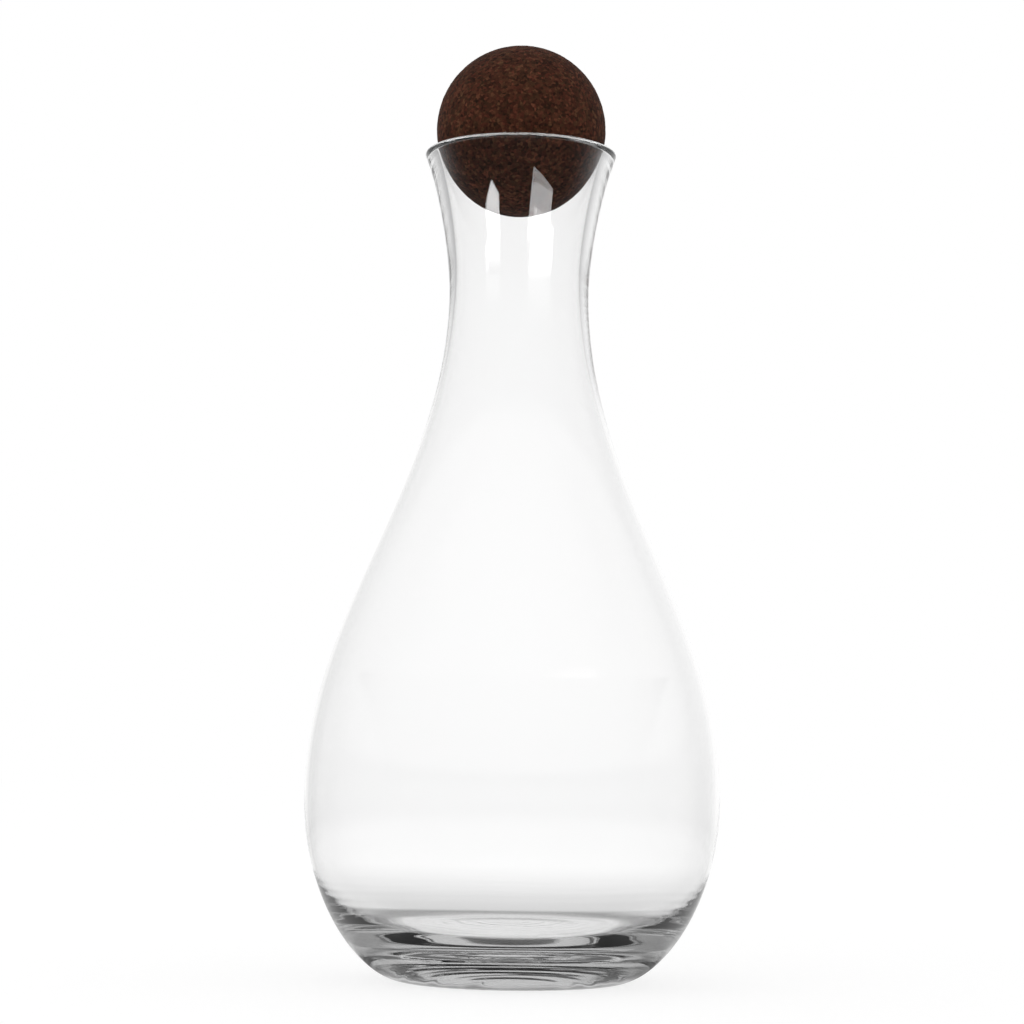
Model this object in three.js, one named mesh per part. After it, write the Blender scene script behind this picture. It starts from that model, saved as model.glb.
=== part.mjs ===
// Wine carafe: a pear-shaped vessel of clear blown glass, closed by a loose ball of dark cork.
// Millimetres, +Z up. The origin is the centre of the underside, on the surface that it stands on.

import * as THREE from 'three';

// Outer sizes of the vessel
const FOOT_RADIUS = 36;
const BELLY_RADIUS = 72.1;
const BELLY_HEIGHT = 63.6;
const NECK_RADIUS = 24.6;
const SHOULDER_LENGTH = 176.8;
const MOUTH_LENGTH = 49.5;

// Stopper and rim: the mouth is sized from the ball that closes it
const BALL_RADIUS = 30;
const RIM_FLAT = 2.91;
const RIM_ROUND = 1;
const SEAT_ANGLE = THREE.MathUtils.degToRad(17.3);
const SEAT_CLEARANCE = 0.3;
const OUTER_FLARE = THREE.MathUtils.degToRad(21);
const INNER_FLARE = THREE.MathUtils.degToRad(18.5);

// Thickness of the glass; the floor inside rises a little to its middle
const BASE_THICKNESS = 13.2;
const FLOOR_RADIUS = 39.6;
const FLOOR_DOME = 0.5;
const BELLY_WALL = 1.8;
const NECK_WALL = 2.68;
const BORE_RISE = 5.7;

// Underside: a flat ring to stand on, round a shallow hollow
const FOOT_RING_WIDTH = 8;
const PUNT_DEPTH = 0.4;

// Fullness of each curve: the share of its span that its end tangent reaches
const OUTER_FULLNESS = {
  heel: 0.43,
  belly: 0.579,
  shoulder: 0.371,
  nape: 0.385,
  throat: 0.213,
  flare: 0.346,
};
const INNER_FULLNESS = {
  heel: 0.14,
  belly: 0.98,
  shoulder: 0.357,
  nape: 0.389,
  throat: 0.364,
  flare: 0.203,
};

// Straight steps along each stretch of the profile, and round the axis
const STEPS = { punt: 3, floor: 3, heel: 8, shoulder: 14, throat: 7, rim: 4 };
const SEGMENTS_ROUND = 72;
const BALL_SEGMENTS = 36;
const BALL_RINGS = 22;

// Heights and radii that follow from the sizes above
const neckHeight = BELLY_HEIGHT + SHOULDER_LENGTH;
const boreHeight = neckHeight + BORE_RISE;
const rimHeight = neckHeight + MOUTH_LENGTH;
const seatReach = BALL_RADIUS + RIM_ROUND + SEAT_CLEARANCE;
const seatRadius = seatReach * Math.cos(SEAT_ANGLE);
const ballHeight = rimHeight + seatReach * Math.sin(SEAT_ANGLE);

const point = (radius, height) => new THREE.Vector2(radius, height);

// Curve that leaves its start level and arrives upright, as a heel does
function heelCurve(start, end, fullness) {
  const leave = point(start.x + fullness.heel * (end.x - start.x), start.y);
  const arrive = point(end.x, end.y - fullness.belly * (end.y - start.y));
  return new THREE.CubicBezierCurve(start, leave, arrive, end);
}

// Curve that is upright at both ends, from the belly in to the neck
function shoulderCurve(belly, neck, fullness) {
  const rise = neck.y - belly.y;
  const leave = point(belly.x, belly.y + fullness.shoulder * rise);
  const arrive = point(neck.x, neck.y - fullness.nape * rise);
  return new THREE.CubicBezierCurve(belly, leave, arrive, neck);
}

// Curve from the upright neck out to the rim, where it leans outwards by the flare
function throatCurve(neck, rim, flare, fullness) {
  const rise = rim.y - neck.y;
  const back = fullness.flare * rise;
  const leave = point(neck.x, neck.y + fullness.throat * rise);
  const arrive = point(rim.x - back * Math.sin(flare), rim.y - back * Math.cos(flare));
  return new THREE.CubicBezierCurve(neck, leave, arrive, rim);
}

// Wall from the heel up to the rim, each stretch starting where the last one ends
function wall(heel, shoulder, throat) {
  return [
    ...heel.getPoints(STEPS.heel),
    ...shoulder.getPoints(STEPS.shoulder).slice(1),
    ...throat.getPoints(STEPS.throat).slice(1),
  ];
}

// Point on one of the two rounds of the rim, at an angle up from straight outwards
function rimPoint(centreRadius, angle) {
  const radius = centreRadius + RIM_ROUND * Math.cos(angle);
  return point(radius, rimHeight + RIM_ROUND * Math.sin(angle));
}

const outerRimPoint = (angle) => rimPoint(seatRadius + RIM_FLAT, angle);
const innerRimPoint = (angle) => rimPoint(seatRadius, angle);

// One round of the rim, from one angle to another
function rimArc(pointAt, from, to) {
  const angle = (i) => from + ((to - from) * i) / STEPS.rim;
  return Array.from({ length: STEPS.rim + 1 }, (_, i) => pointAt(angle(i)));
}

// Rim from the outer wall over to the inner one, with the flat between its two rounds
function rimProfile() {
  return [
    ...rimArc(outerRimPoint, -OUTER_FLARE, Math.PI / 2),
    ...rimArc(innerRimPoint, Math.PI / 2, Math.PI - INNER_FLARE),
  ];
}

// Shallow dome as a parabola, from its centre out to an edge at the given height
function domeArc(radius, edgeHeight, rise, steps) {
  return Array.from({ length: steps + 1 }, (_, i) => {
    const share = i / steps;
    return point(radius * share, edgeHeight + rise * (1 - share * share));
  });
}

// Underside, hollowed inside the standing ring
function puntArc() {
  return domeArc(FOOT_RADIUS - FOOT_RING_WIDTH, 0, PUNT_DEPTH, STEPS.punt);
}

// Floor of the inside
function floorArc() {
  return domeArc(FLOOR_RADIUS, BASE_THICKNESS, FLOOR_DOME, STEPS.floor);
}

function outerWall() {
  const foot = point(FOOT_RADIUS, 0);
  const belly = point(BELLY_RADIUS, BELLY_HEIGHT);
  const neck = point(NECK_RADIUS, neckHeight);
  const rim = outerRimPoint(-OUTER_FLARE);
  return wall(
    heelCurve(foot, belly, OUTER_FULLNESS),
    shoulderCurve(belly, neck, OUTER_FULLNESS),
    throatCurve(neck, rim, OUTER_FLARE, OUTER_FULLNESS),
  );
}

function innerWall() {
  const floor = point(FLOOR_RADIUS, BASE_THICKNESS);
  const belly = point(BELLY_RADIUS - BELLY_WALL, BELLY_HEIGHT);
  const bore = point(NECK_RADIUS - NECK_WALL, boreHeight);
  const rim = innerRimPoint(Math.PI - INNER_FLARE);
  return wall(
    heelCurve(floor, belly, INNER_FULLNESS),
    shoulderCurve(belly, bore, INNER_FULLNESS),
    throatCurve(bore, rim, INNER_FLARE, INNER_FULLNESS),
  );
}

// One closed profile turned about the axis: underside, outside, rim, inside and floor
function glassCarafe() {
  const profile = [
    ...puntArc(),
    ...outerWall(),
    ...rimProfile().slice(1),
    ...innerWall().reverse().slice(1),
    ...floorArc().reverse().slice(1),
  ];
  const glass = new THREE.MeshStandardMaterial({
    color: 0xf2f6f5,
    roughness: 0.03,
    metalness: 0,
    transparent: true,
    opacity: 0.3,
  });
  const mesh = new THREE.Mesh(new THREE.LatheGeometry(profile, SEGMENTS_ROUND), glass);
  mesh.name = 'glass_carafe';
  mesh.rotation.x = Math.PI / 2;
  return mesh;
}

// The ball rests on the inner round of the rim, with more than half of it proud of the mouth
function corkBallStopper() {
  const ball = new THREE.SphereGeometry(BALL_RADIUS, BALL_SEGMENTS, BALL_RINGS);
  const cork = new THREE.MeshStandardMaterial({ color: 0x3d281d, roughness: 0.85, metalness: 0 });
  const mesh = new THREE.Mesh(ball, cork);
  mesh.name = 'cork_ball_stopper';
  mesh.rotation.x = Math.PI / 2;
  mesh.position.z = ballHeight;
  return mesh;
}

const carafe = new THREE.Group();
carafe.add(glassCarafe(), corkBallStopper());

export default carafe;
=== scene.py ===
"""Looks of the wine carafe: clear blown glass and a ball of dark cork, on a white table."""

import math

import bmesh
import bpy
import numpy as np
from mathutils import Matrix, Vector, noise


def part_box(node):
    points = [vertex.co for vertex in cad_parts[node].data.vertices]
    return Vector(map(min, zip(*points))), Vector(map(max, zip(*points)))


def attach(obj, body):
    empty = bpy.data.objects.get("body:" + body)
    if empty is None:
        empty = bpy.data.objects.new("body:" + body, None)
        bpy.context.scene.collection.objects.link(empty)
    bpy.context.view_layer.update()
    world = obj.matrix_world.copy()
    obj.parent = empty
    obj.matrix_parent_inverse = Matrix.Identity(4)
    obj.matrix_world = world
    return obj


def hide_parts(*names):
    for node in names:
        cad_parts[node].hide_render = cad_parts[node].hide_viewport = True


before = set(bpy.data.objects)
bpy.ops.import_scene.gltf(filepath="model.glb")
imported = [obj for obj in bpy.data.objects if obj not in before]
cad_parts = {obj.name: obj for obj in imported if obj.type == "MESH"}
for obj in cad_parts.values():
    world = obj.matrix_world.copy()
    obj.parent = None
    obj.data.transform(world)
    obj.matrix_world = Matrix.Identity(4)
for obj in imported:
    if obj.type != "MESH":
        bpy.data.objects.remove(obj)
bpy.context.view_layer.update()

MM = 0.001
TINY = 1e-6

# Camera, fitted to the photograph's outline; the image is taken to be 1024 by 1024
CAMERA_PLACE = Vector((-1.4 * MM, -923.0 * MM, 76.2 * MM))
CAMERA_PITCH = math.radians(5.37)
CAMERA_ROLL = math.radians(0.805)
CAMERA_LENS = 92.8
CAMERA_SENSOR = 36.0

# Fineness of the glass and cork meshes; a new run of the glass starts where the spacing changes
GLASS_SEGMENTS = 224
GLASS_STEP = 1.6 * MM
GLASS_TURN = math.radians(4)
CURVE_STEP = 0.05 * MM
LEVEL_STEP = 1.5 * MM
RUN_RATIO = 2.5
BALL_SUBDIVISIONS = 7

# Glass: clear, with a faint grey where light goes a long way through it
GLASS_IOR = 1.5
GLASS_GREY = (0.5, 0.5, 0.5, 1.0)
GLASS_DENSITY = 10.0

# Unevenness of the blown glass: a bore off the axis, threads inside the heel, swirls in the floor
BORE_SHIFT = -0.42 * MM
BORE_SHIFT_FROM = 90 * MM
BORE_SHIFT_FULL = 150 * MM
BORE_SHIFT_FADE = 60 * MM
THREAD_DEPTH = 0.008 * MM
THREAD_PITCH = 2.6 * MM
THREAD_TOP = 40 * MM
SWIRL_DEPTH = 0.02 * MM
SWIRL_PITCH = 5 * MM
RIPPLED_STEP = 0.45 * MM

# Ball of pressed cork granules: sizes of its pattern, then waves to a radius and height of its grain
CORK_GRANULE = 1.0 * MM
CORK_SPECKLE = CORK_GRANULE / 2.2
CORK_PATCH = CORK_GRANULE * 4
CORK_BUMP = 0.3 * MM
CORK_GRAIN = ((22.0, 0.08 * MM), (60.0, 0.05 * MM))
CORK_PIT = 0.2 * MM
CORK_PIT_WAVES = 24.0
# colours of the cork, each at a tone from 0 to 1
CORK_SHADES = (
    (0.22, (0.012, 0.0045, 0.0025)),
    (0.42, (0.041, 0.016, 0.009)),
    (0.62, (0.068, 0.026, 0.015)),
    (0.82, (0.145, 0.066, 0.039)),
)
CORK_TINTS = ((0.2, (1.20, 0.83, 0.79)), (0.8, (0.93, 1.03, 0.84)))

# Light that the glass shows: a white backdrop, and for reflections a dark front and ceiling
BACKDROP = 1.10
BACKDROP_TURN = math.radians(5)
FRONT = 0.09
OVERHEAD = 0.1
OVERHEAD_FROM = math.sin(math.radians(30))
OVERHEAD_FULL = math.sin(math.radians(50))
# share of the backdrop's light at an angle from straight behind, in degrees
BACKDROP_FALLOFF = (
    (10, 0.93), (20, 0.91), (30, 0.75), (38, 0.58), (45, 0.45), (52, 0.41),
    (74, 0.23), (90, 0.06), (105, 0.0),
)
# and on the table at a distance from the axis, in mm, as painted shade: a painted shadow ring round the
# foot, then behind it and in front
TABLE_PAINTED_SHADOW = ((38, 0.75), (46, 0.2), (58, 0.2), (75, 0.7))
TABLE_PAINTED_BEHIND = TABLE_PAINTED_SHADOW + ((150, 0.75), (250, 0.84), (500, 0.93), (1000, 1.0))
TABLE_PAINTED_IN_FRONT = TABLE_PAINTED_SHADOW + ((250, 0.5), (450, 0.45), (650, 0.04))

# White table: to the camera a share of it glows, and the rest takes the object's shadow
TABLE_REACH = 6.0
TABLE_GAP = 0.1 * MM
TABLE_WHITE = 1.14
TABLE_GLOW = 0.7
TABLE_COLOUR = (0.9, 0.9, 0.9, 1.0)

# Softboxes that the neck mirrors: a fade is the share of the strength at a height in mm
SHORT_FADE = ((240, 1.0), (310, 0.0))
LONG_FADE = ((245, 1.0), (315, 0.1), (370, 0.09), (440, 0.0))
OUTER_FADE = ((180, 1.0), (300, 0.0))

# Canopy that the rim mirrors, above the rim, and the flag that hides the softboxes from the belly
CANOPY_RADIUS = 150 * MM
CANOPY_LIFT = 14 * MM
CANOPY_WALL = 70 * MM
CANOPY_ROOF = 170 * MM
CANOPY_REACH = 150 * MM
CANOPY_STRENGTH = 7.5
FLAG_NEAR = 85 * MM
FLAG_FAR = 750 * MM
FLAG_HEIGHT = 115 * MM

# Even light from all round and one weak lamp for the cork, and the bounces that thick glass needs
AMBIENT = 0.75
KEY_PLACE = (-0.7, -0.8, 1.1)
KEY_AIM = Vector((0, 0, 0.2))
KEY_SIZE = (0.8, 0.8)
KEY_ENERGY = 1.2
BOUNCES = 64


def nodes_of(material):
    """Empty node tree of a material or world, ready for nodes."""
    material.use_nodes = True
    material.node_tree.nodes.clear()
    return material.node_tree


def add(tree, kind, inputs=None, **settings):
    """New node with its settings, and its inputs set to a value or linked from a socket."""
    node = tree.nodes.new(kind)
    for name, value in settings.items():
        setattr(node, name, value)
    for name, value in (inputs or {}).items():
        if isinstance(value, bpy.types.NodeSocket):
            tree.links.new(value, node.inputs[name])
        else:
            node.inputs[name].default_value = value
    return node


def maths(tree, operation, a, b=0.0, clamp=False):
    node = add(tree, "ShaderNodeMath", {0: a, 1: b}, operation=operation, use_clamp=clamp)
    return node.outputs[0]


def product(tree, first, *others):
    for other in others:
        first = maths(tree, "MULTIPLY", first, other)
    return first


def blend(tree, factor, a, b):
    return add(tree, "ShaderNodeMix", {0: factor, 2: a, 3: b}, data_type="FLOAT").outputs[0]


def ramp(tree, value, start, end):
    """Smooth step from 0 to 1 as the value goes from start to end."""
    inputs = {"Value": value, "From Min": start, "From Max": end}
    return add(tree, "ShaderNodeMapRange", inputs, interpolation_type="SMOOTHSTEP").outputs[0]


def shaded(tree, value, stops):
    """Colour that goes straight from stop to stop; a stop is a value from 0 to 1 and its colour."""
    node = add(tree, "ShaderNodeValToRGB", {"Fac": value})
    elements = node.color_ramp.elements
    elements[0].position, elements[1].position = stops[0][0], stops[-1][0]
    for place, colour in stops[1:-1]:
        elements.new(place)
    for element, (place, colour) in zip(elements, stops):
        element.color = (*colour, 1.0)
    return node.outputs["Color"]


def follow(tree, value, stops):
    """Level that goes straight from stop to stop; a stop is a value from 0 to 1 and its level."""
    return shaded(tree, value, [(place, (level, level, level)) for place, level in stops])


def link_object(name, mesh):
    piece = bpy.data.objects.new(name, mesh)
    bpy.context.scene.collection.objects.link(piece)
    return piece


def smooth_step(value, start, end):
    t = np.clip((value - start) / (end - start), 0.0, 1.0)
    return t * t * (3 - 2 * t)


# Glass

def turned_profile(node):
    """Points (radius, height) of a turned CAD node's profile, from its underside round to its floor."""
    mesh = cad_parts[node].data
    spot = {}
    for vertex in mesh.vertices:
        x, y, z = vertex.co
        if abs(x) < TINY and y < TINY:
            spot[vertex.index] = (round(-y, 6), round(z, 6))
    beside = {}
    for edge in mesh.edges:
        a, b = (spot.get(i) for i in edge.vertices)
        if a and b and a != b:
            beside.setdefault(a, set()).add(b)
            beside.setdefault(b, set()).add(a)
    here = min(p for p in beside if p[0] < TINY)
    walk = [here]
    while True:
        onward = [p for p in beside[here] if p not in walk]
        if not onward:
            return np.array(walk)
        here = onward[0]
        walk.append(here)


def with_level_points(points):
    """The same profile with points added along its level stretches, which keep a spline level."""
    out = [points[0]]
    for a, b in zip(points[:-1], points[1:]):
        if abs(a[1] - b[1]) < TINY:
            count = max(1, round(abs(b[0] - a[0]) / LEVEL_STEP))
            out += [a + (b - a) * i / count for i in range(1, count)]
        out.append(b)
    return np.array(out)


def heading_from(side):
    """Heading away from the first of three points, and how much the line through them turns."""
    first, second = np.diff(side, axis=0)
    h, k = np.hypot(*first), np.hypot(*second)
    first, second = first / h, second / k
    heading = first + (first - second) * h / (h + k)
    return heading / np.hypot(*heading), 1 - first @ second


def heading_at(points, i):
    """Heading of the profile at a point, taken from the straighter of its two sides."""
    ahead, turn_ahead = heading_from(points[i:i + 3])
    behind, turn_behind = heading_from(points[i - 2:i + 1][::-1])
    return ahead if turn_ahead < turn_behind else -behind


def clamped_spline(points, start, end):
    """Cubic spline through the points with the given headings at its ends, finely sampled."""
    chords = np.hypot(*np.diff(points, axis=0).T)
    at = np.concatenate([[0.0], np.cumsum(chords)])
    slopes = np.diff(points, axis=0) / chords[:, None]
    n = len(points)
    system = np.eye(n)
    headings = np.zeros((n, 2))
    headings[0], headings[-1] = start, end
    for i in range(1, n - 1):
        h, k = chords[i - 1], chords[i]
        system[i, i - 1:i + 2] = k, 2 * (h + k), h
        headings[i] = 3 * (k * slopes[i - 1] + h * slopes[i])
    headings = np.linalg.solve(system, headings)
    s = np.linspace(0.0, at[-1], max(2, round(at[-1] / CURVE_STEP)) + 1)
    i = np.clip(np.searchsorted(at, s, side="right") - 1, 0, n - 2)
    h = chords[i][:, None]
    u = (s - at[i])[:, None] / h
    v = 1 - u
    curve = points[i] * v * v * (1 + 2 * u) + points[i + 1] * u * u * (1 + 2 * v)
    return curve + h * u * v * (headings[i] * v - headings[i + 1] * u)


def smooth_profile(points):
    """Fine curve through the profile, in runs that meet where the spacing of its points changes."""
    chords = np.hypot(*np.diff(points, axis=0).T)
    growth = chords[1:] / chords[:-1]
    joins = [i + 1 for i, ratio in enumerate(growth) if not 1 / RUN_RATIO < ratio < RUN_RATIO]
    ends = [0, *joins, len(points) - 1]
    headings = [(1.0, 0.0), *(heading_at(points, i) for i in joins), (-1.0, 0.0)]
    runs = [
        clamped_spline(points[a:b + 1], start, end)[:-1]
        for a, b, start, end in zip(ends, ends[1:], headings, headings[1:])
    ]
    return np.vstack([*runs, points[-1:]])


def inside(profile):
    """Which points lie on the inner surface, after the highest point of the rim."""
    return np.arange(len(profile)) > profile[:, 1].argmax()


def rippled(profile):
    """Which points lie on the floor and the heel inside, where the glass is least even."""
    return inside(profile) & (profile[:, 1] < THREAD_TOP)


def thinned(curve):
    """Fewer points of a fine curve, closer together where it bends."""
    steps = np.diff(curve, axis=0)
    lengths = np.hypot(*steps.T)
    headings = np.unwrap(np.arctan2(steps[:, 1], steps[:, 0]))
    turns = np.abs(np.diff(headings, append=headings[-1]))
    step = np.where(rippled(curve)[:-1], RIPPLED_STEP, GLASS_STEP)
    cost = np.concatenate([[0.0], np.cumsum(lengths / step + turns / GLASS_TURN)])
    wanted = np.linspace(0.0, cost[-1], math.ceil(cost[-1]) + 1)
    return np.stack([np.interp(wanted, cost, curve[:, k]) for k in (0, 1)], axis=-1)


def bore_shift(profile):
    """Sideways shift of each profile point: the neck's bore lies off the axis, less so at the rim."""
    z = profile[:, 1]
    top = z.max()
    grown = smooth_step(z, BORE_SHIFT_FROM, BORE_SHIFT_FULL)
    faded = 0.5 * smooth_step(z, top - BORE_SHIFT_FADE, top)
    return BORE_SHIFT * grown * (1 - faded) * inside(profile)


def ripples(profile, angles):
    """Height of the inner surface's threads and swirls, at each profile point and each angle.

    Both are mixed from a few waves of unlike length, so that they look blown and not machined.
    """
    r, z = profile[:, 0, None], profile[:, 1, None]
    floor = profile[-1, 1]
    wander = 0.9 * np.sin(2 * angles + 0.4) + 0.5 * np.sin(5 * angles + 2.0)
    swell = 0.65 + 0.35 * np.sin(3 * angles + z / (9 * MM))
    threads = THREAD_DEPTH * np.sin(2 * math.pi * z / THREAD_PITCH + wander) * swell
    threads = threads * smooth_step(z, floor + 2 * MM, floor + 6 * MM)
    threads = threads * (1 - smooth_step(z, THREAD_TOP - 10 * MM, THREAD_TOP))
    turns = 2 * math.pi * r / SWIRL_PITCH
    swirls = np.sin(turns + angles + 0.5) + 0.6 * np.sin(1.7 * turns - 2 * angles + 1.1)
    swirls = SWIRL_DEPTH / 1.6 * swirls * smooth_step(r, 1 * MM, 8 * MM)
    swirls = swirls * (1 - smooth_step(z, floor - 0.4 * MM, floor + 3 * MM))
    return (threads + swirls) * rippled(profile)[:, None]


def lathe(name, profile, segments):
    """Closed mesh turned from a profile that starts and ends on the axis."""
    angles = 2 * math.pi * np.arange(segments) / segments
    along = np.gradient(profile, axis=0)
    along /= np.hypot(*along.T)[:, None]
    height = ripples(profile, angles)[1:-1]
    radius = profile[1:-1, 0, None] + along[1:-1, 1, None] * height
    z = profile[1:-1, 1, None] - along[1:-1, 0, None] * height
    x = radius * np.cos(angles) + bore_shift(profile)[1:-1, None]
    y = radius * np.sin(angles)
    vertices = np.stack([x, y, z], axis=-1).reshape(-1, 3)
    rings = len(radius)
    first = len(vertices)
    vertices = np.vstack([vertices, [(0, 0, profile[0, 1])], [(0, 0, profile[-1, 1])]])
    faces = []
    for j in range(segments):
        k = (j + 1) % segments
        faces.append((first, k, j))
        last = (rings - 1) * segments
        faces.append((first + 1, last + j, last + k))
        for i in range(rings - 1):
            a, b = i * segments, (i + 1) * segments
            faces.append((a + j, a + k, b + k, b + j))
    mesh = bpy.data.meshes.new(name)
    mesh.from_pydata(vertices.tolist(), [], faces)
    mesh.shade_smooth()
    return mesh


def glass_material():
    material = bpy.data.materials.new("clear_blown_glass")
    tree = nodes_of(material)
    shader = add(tree, "ShaderNodeBsdfPrincipled", {
        "Base Color": (1.0, 1.0, 1.0, 1.0),
        "Roughness": 0.0,
        "IOR": GLASS_IOR,
        "Transmission Weight": 1.0,
    })
    grey = add(tree, "ShaderNodeVolumeAbsorption", {"Color": GLASS_GREY, "Density": GLASS_DENSITY})
    add(tree, "ShaderNodeOutputMaterial", {"Surface": shader.outputs[0], "Volume": grey.outputs[0]})
    return material


def make_glass():
    profile = thinned(smooth_profile(with_level_points(turned_profile("glass_carafe"))))
    glass = link_object("blown_glass", lathe("blown_glass", profile, GLASS_SEGMENTS))
    glass.data.materials.append(glass_material())
    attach(glass, "carafe")
    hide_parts("glass_carafe")


# Cork

def cork_material():
    material = bpy.data.materials.new("dark_agglomerated_cork")
    tree = nodes_of(material)
    place = add(tree, "ShaderNodeTexCoord").outputs["Object"]
    granules = add(tree, "ShaderNodeTexVoronoi", {"Vector": place, "Scale": 1 / CORK_GRANULE})
    own = add(tree, "ShaderNodeSeparateColor", {"Color": granules.outputs["Color"]}).outputs
    fine = {"Vector": place, "Scale": 1 / CORK_SPECKLE, "Detail": 2.0}
    speckle = add(tree, "ShaderNodeTexNoise", fine)
    coarse = {"Vector": place, "Scale": 1 / CORK_PATCH, "Detail": 3.0}
    patches = add(tree, "ShaderNodeTexNoise", coarse)
    tone = blend(tree, 0.45, own[0], speckle.outputs[0])
    tone = blend(tree, 0.25, tone, patches.outputs[0])
    shades = shaded(tree, tone, CORK_SHADES)
    # some granules are redder and some more olive than the rest
    tints = shaded(tree, blend(tree, 0.4, own[1], patches.outputs[1]), CORK_TINTS)
    tinted = add(tree, "ShaderNodeMix", {0: 1.0, 6: shades, 7: tints},
                 data_type="RGBA", blend_type="MULTIPLY")
    bump = add(tree, "ShaderNodeBump", {"Height": tone, "Strength": 0.25, "Distance": CORK_BUMP})
    shader = add(tree, "ShaderNodeBsdfPrincipled", {
        "Base Color": tinted.outputs[2],
        "Roughness": 0.85,
        "Specular IOR Level": 0.1,
        "Normal": bump.outputs[0],
    })
    add(tree, "ShaderNodeOutputMaterial", {"Surface": shader.outputs[0]})
    return material


def cork_height(direction):
    """Height of the ball's skin over its true sphere: a fine grain, with pits between granules."""
    grain = sum(height * noise.noise(direction * waves) for waves, height in CORK_GRAIN)
    pit = noise.noise(direction * CORK_PIT_WAVES + Vector((5, 0, 0)))
    return grain - CORK_PIT * smooth_step(pit, 0.45, 0.7)


def make_cork():
    low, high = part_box("cork_ball_stopper")
    radius = (high.z - low.z) / 2
    mesh = bpy.data.meshes.new("cork_ball")
    build = bmesh.new()
    bmesh.ops.create_icosphere(build, subdivisions=BALL_SUBDIVISIONS, radius=1.0)
    for vertex in build.verts:
        direction = vertex.co.normalized()
        vertex.co = direction * (radius + cork_height(direction))
    build.to_mesh(mesh)
    build.free()
    mesh.shade_smooth()
    ball = link_object("cork_ball", mesh)
    ball.location = (low + high) / 2
    ball.data.materials.append(cork_material())
    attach(ball, "stopper")
    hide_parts("cork_ball_stopper")


# Table, world, lamps and camera

def ray_kinds(tree):
    """Shares of camera rays, of rays from the glass, and of rays that were ever reflected."""
    path = add(tree, "ShaderNodeLightPath").outputs
    glass = maths(tree, "MAXIMUM", path["Is Singular Ray"], path["Is Transmission Ray"])
    reflected = maths(tree, "MINIMUM", path["Glossy Depth"], 1.0)
    return path["Is Camera Ray"], glass, reflected


def level_length(tree, x, y):
    return maths(tree, "SQRT", maths(tree, "ADD", product(tree, x, x), product(tree, y, y)))


def share_of_backdrop(tree, x, y):
    """Share of the backdrop's light that reflections show, less away from the back.

    The backdrop's brightest part lies a little to the right of straight behind.
    """
    straight = product(tree, y, math.cos(BACKDROP_TURN))
    ahead = maths(tree, "ADD", straight, product(tree, x, math.sin(BACKDROP_TURN)))
    back = maths(tree, "DIVIDE", ahead, maths(tree, "MAXIMUM", level_length(tree, x, y), TINY))
    half_turns = maths(tree, "DIVIDE", maths(tree, "ARCCOSINE", back), math.pi)
    return follow(tree, half_turns, [(degrees / 180, share) for degrees, share in BACKDROP_FALLOFF])


def table_material():
    material = bpy.data.materials.new("white_table")
    tree = nodes_of(material)
    camera, glass, reflected = ray_kinds(tree)
    place = add(tree, "ShaderNodeNewGeometry").outputs["Position"]
    x, y = add(tree, "ShaderNodeSeparateXYZ", {0: place}).outputs[:2]
    radius = level_length(tree, x, y)
    # to rays from the glass the table glows in painted shade: a painted shadow ring round the foot,
    # that lifts to full behind and deepens to dark in front
    behind = follow(tree, radius, [(mm * MM, level) for mm, level in TABLE_PAINTED_BEHIND])
    in_front = follow(tree, radius, [(mm * MM, level) for mm, level in TABLE_PAINTED_IN_FRONT])
    mirrored = blend(tree, share_of_backdrop(tree, x, y), in_front, behind)
    shown = product(tree, blend(tree, reflected, behind, mirrored), BACKDROP)
    strength = blend(tree, glass, TABLE_WHITE, shown)
    glow = add(tree, "ShaderNodeEmission", {"Color": (1, 1, 1, 1), "Strength": strength})
    diffuse = add(tree, "ShaderNodeBsdfDiffuse", {"Color": TABLE_COLOUR})
    share = maths(tree, "ADD", product(tree, camera, TABLE_GLOW), glass, True)
    mix = add(tree, "ShaderNodeMixShader", {0: share, 1: diffuse.outputs[0], 2: glow.outputs[0]})
    add(tree, "ShaderNodeOutputMaterial", {"Surface": mix.outputs[0]})
    return material


def make_floor():
    mesh = bpy.data.meshes.new("table")
    corners = [(-1, -1), (1, -1), (1, 1), (-1, 1)]
    spots = [(x * TABLE_REACH, y * TABLE_REACH, -TABLE_GAP) for x, y in corners]
    mesh.from_pydata(spots, [], [(0, 1, 2, 3)])
    mesh.materials.append(table_material())
    link_object("table", mesh)


def make_world():
    world = bpy.data.worlds.new("studio")
    bpy.context.scene.world = world
    tree = nodes_of(world)
    camera, glass, reflected = ray_kinds(tree)
    direction = add(tree, "ShaderNodeTexCoord").outputs["Generated"]
    x, y, z = add(tree, "ShaderNodeSeparateXYZ", {0: direction}).outputs
    level_view = blend(tree, share_of_backdrop(tree, x, y), FRONT, BACKDROP)
    top = ramp(tree, z, OVERHEAD_FROM, OVERHEAD_FULL)
    mirrored = blend(tree, top, level_view, OVERHEAD)
    shown = blend(tree, reflected, BACKDROP, mirrored)
    level = blend(tree, glass, AMBIENT, shown)
    level = blend(tree, camera, level, 1.0)
    background = add(tree, "ShaderNodeBackground", {"Color": (1, 1, 1, 1), "Strength": level})
    add(tree, "ShaderNodeOutputWorld", {"Surface": background.outputs[0]})


def seen_only(tree, shown, glow):
    """Finish a material that glows where shown is 1 and is clear elsewhere."""
    clear = add(tree, "ShaderNodeBsdfTransparent")
    mix = add(tree, "ShaderNodeMixShader", {0: shown, 1: clear.outputs[0], 2: glow.outputs[0]})
    add(tree, "ShaderNodeOutputMaterial", {"Surface": mix.outputs[0]})


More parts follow.
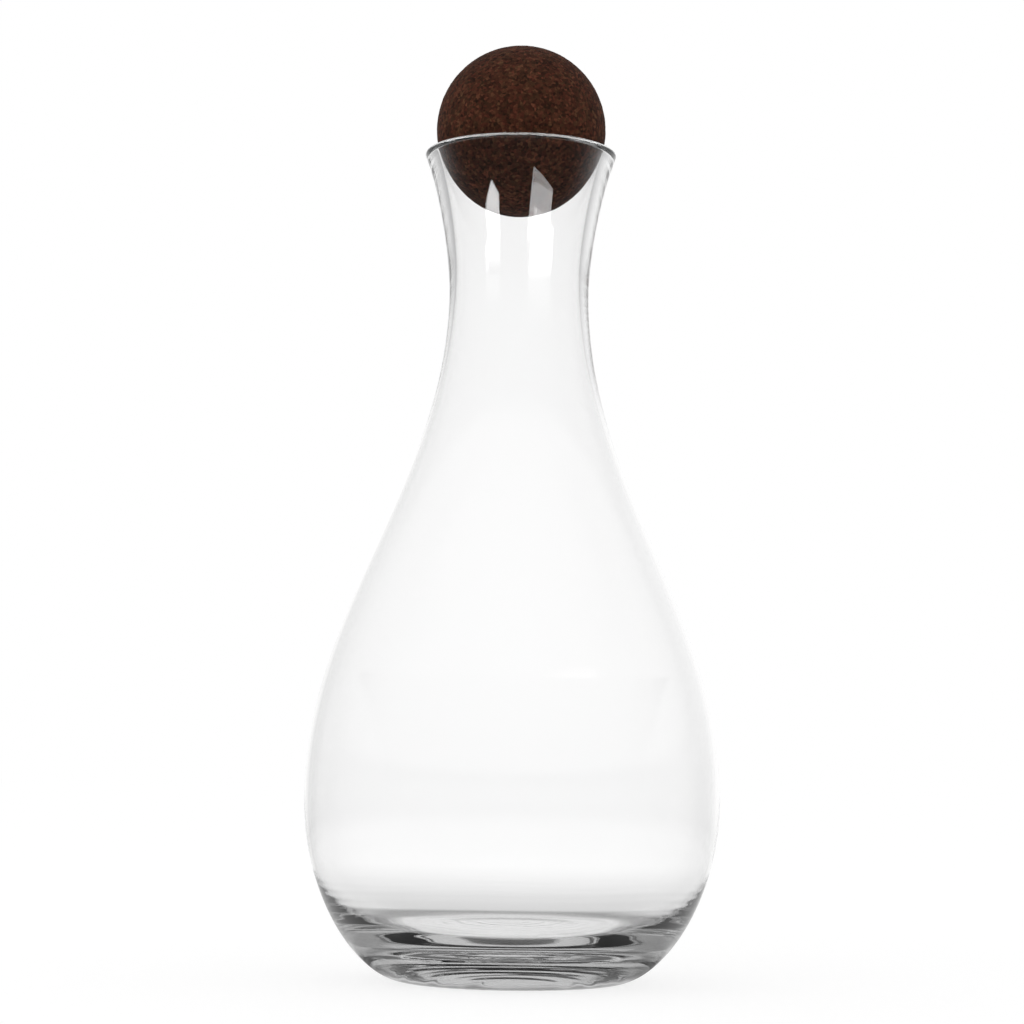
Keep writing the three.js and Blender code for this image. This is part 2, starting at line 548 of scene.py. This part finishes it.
def panel_material(name, strength, fade, reach, faces):
    """Light that only shows mirrored in the wall nearest to the viewer, and lights nothing.

    Its strength fades with height in metres, and it shows no further off than the reach, to rays
    that were reflected once and have passed through no more than the given number of faces.
    """
    material = bpy.data.materials.new(name)
    tree = nodes_of(material)
    glass, reflected = ray_kinds(tree)[1:]
    path = add(tree, "ShaderNodeLightPath").outputs
    few_faces = maths(tree, "LESS_THAN", path["Transmission Depth"], faces + 0.5)
    near = maths(tree, "LESS_THAN", path["Ray Length"], reach)
    once = maths(tree, "LESS_THAN", path["Glossy Depth"], 1.5)
    shown = product(tree, glass, reflected, few_faces, near, once)
    place = add(tree, "ShaderNodeNewGeometry").outputs["Position"]
    height = add(tree, "ShaderNodeSeparateXYZ", {0: place}).outputs["Z"]
    level = product(tree, follow(tree, height, fade), strength)
    seen_only(tree, shown, add(tree, "ShaderNodeEmission", {"Color": (1, 1, 1, 1), "Strength": level}))
    return material


def make_panel(name, spots, faces, material):
    mesh = bpy.data.meshes.new(name)
    mesh.from_pydata(spots, [], faces)
    mesh.materials.append(material)
    panel = link_object(name, mesh)
    panel.visible_camera = False
    panel.visible_diffuse = False
    panel.visible_shadow = False


def around(degrees, radius, height):
    """Place at an angle to the right of the camera's side, all round the axis."""
    a = math.radians(degrees)
    return (radius * math.sin(a), -radius * math.cos(a), height)


def make_softbox(name, corners, distance, strength, fade, faces=2):
    """Upright panel; its corners are (degrees to the right of the camera, height in mm)."""
    spots = [around(degrees, distance, height * MM) for degrees, height in corners]
    fade = [(height * MM, share) for height, share in fade]
    material = panel_material(name, strength, fade, 2 * distance, faces)
    make_panel(name, spots, [tuple(range(len(spots)))], material)


def make_softboxes():
    """A narrow softbox on the left and a wide one on the right, both in front."""
    left = [(-55, 250), (-43, 197), (-32, 214), (-32, 440), (-55, 440)]
    make_softbox("left_softbox", left, distance=0.7, strength=9.5, fade=LONG_FADE)
    # the same softbox as the outer face mirrors it, so that both faces show it in one place
    left_outer = [(-50, 181), (-39.5, 123), (-30, 143), (-30, 320), (-50, 320)]
    make_softbox("left_again", left_outer, distance=0.69, strength=7.0, fade=OUTER_FADE, faces=0)
    right = [(14.5, 270), (19.5, 175), (52, 222), (52, 400), (14.5, 400)]
    make_softbox("right_softbox", right, distance=0.6, strength=6.0, fade=SHORT_FADE)
    # its brighter part, just in front of it and with a higher slanting edge
    core = [(14.5, 270), (19.5, 197), (52, 229), (52, 440), (14.5, 440)]
    make_softbox("right_core", core, distance=0.58, strength=9.5, fade=LONG_FADE)


def make_canopy():
    """Screen over the front of the mouth: an upright wall and a sloping roof that the rim mirrors."""
    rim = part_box("glass_carafe")[1].z
    angles = range(-100, 101, 10)
    low = [around(a, CANOPY_RADIUS, rim + CANOPY_LIFT) for a in angles]
    high = [around(a, CANOPY_RADIUS, rim + CANOPY_WALL) for a in angles]
    n = len(low)
    walls = [(i, i + 1, n + i + 1, n + i) for i in range(n - 1)]
    roof = [(n + i, n + i + 1, 2 * n) for i in range(n - 1)]
    top = rim + CANOPY_ROOF
    even = ((rim, 1.0), (top, 1.0))
    material = panel_material("canopy", CANOPY_STRENGTH, even, CANOPY_REACH, 2)
    make_panel("canopy", low + high + [(0, 0, top)], walls + roof, material)


def flag_material():
    """Black to reflections that come from below, and clear from above."""
    material = bpy.data.materials.new("flag")
    tree = nodes_of(material)
    glass, reflected = ray_kinds(tree)[1:]
    below = add(tree, "ShaderNodeNewGeometry").outputs["Backfacing"]
    shown = product(tree, glass, reflected, below)
    seen_only(tree, shown, add(tree, "ShaderNodeEmission", {"Strength": 0.0}))
    return material


def make_flag():
    """Level black flag under the softboxes that hides them from the belly."""
    angles = range(-70, 71, 10)
    near = [around(a, FLAG_NEAR, FLAG_HEIGHT) for a in angles]
    far = [around(a, FLAG_FAR, FLAG_HEIGHT) for a in angles]
    n = len(near)
    faces = [(i, n + i, n + i + 1, i + 1) for i in range(n - 1)]
    make_panel("flag", near + far, faces, flag_material())


def make_key_lamp():
    lamp = bpy.data.lights.new("key", "AREA")
    lamp.shape = "RECTANGLE"
    lamp.size, lamp.size_y = KEY_SIZE
    lamp.energy = KEY_ENERGY
    piece = bpy.data.objects.new("key", lamp)
    piece.location = KEY_PLACE
    aim = KEY_AIM - Vector(KEY_PLACE)
    piece.rotation_euler = aim.to_track_quat("-Z", "Y").to_euler()
    piece.visible_camera = False
    piece.visible_glossy = False
    piece.visible_transmission = False
    bpy.context.scene.collection.objects.link(piece)


def make_camera():
    data = bpy.data.cameras.new("camera")
    data.lens = CAMERA_LENS
    data.sensor_width = CAMERA_SENSOR
    data.clip_start = 0.01
    camera = bpy.data.objects.new("camera", data)
    bpy.context.scene.collection.objects.link(camera)
    pitch = Matrix.Rotation(math.pi / 2 + CAMERA_PITCH, 4, "X")
    roll = Matrix.Rotation(CAMERA_ROLL, 4, "Z")
    camera.matrix_world = Matrix.Translation(CAMERA_PLACE) @ pitch @ roll
    bpy.context.scene.camera = camera


make_camera()
make_glass()
make_cork()
make_floor()
make_world()
make_softboxes()
make_canopy()
make_flag()
make_key_lamp()
cycles = bpy.context.scene.cycles
cycles.max_bounces = BOUNCES
cycles.glossy_bounces = BOUNCES
cycles.transmission_bounces = BOUNCES
bpy.context.scene.view_settings.view_transform = "Standard"
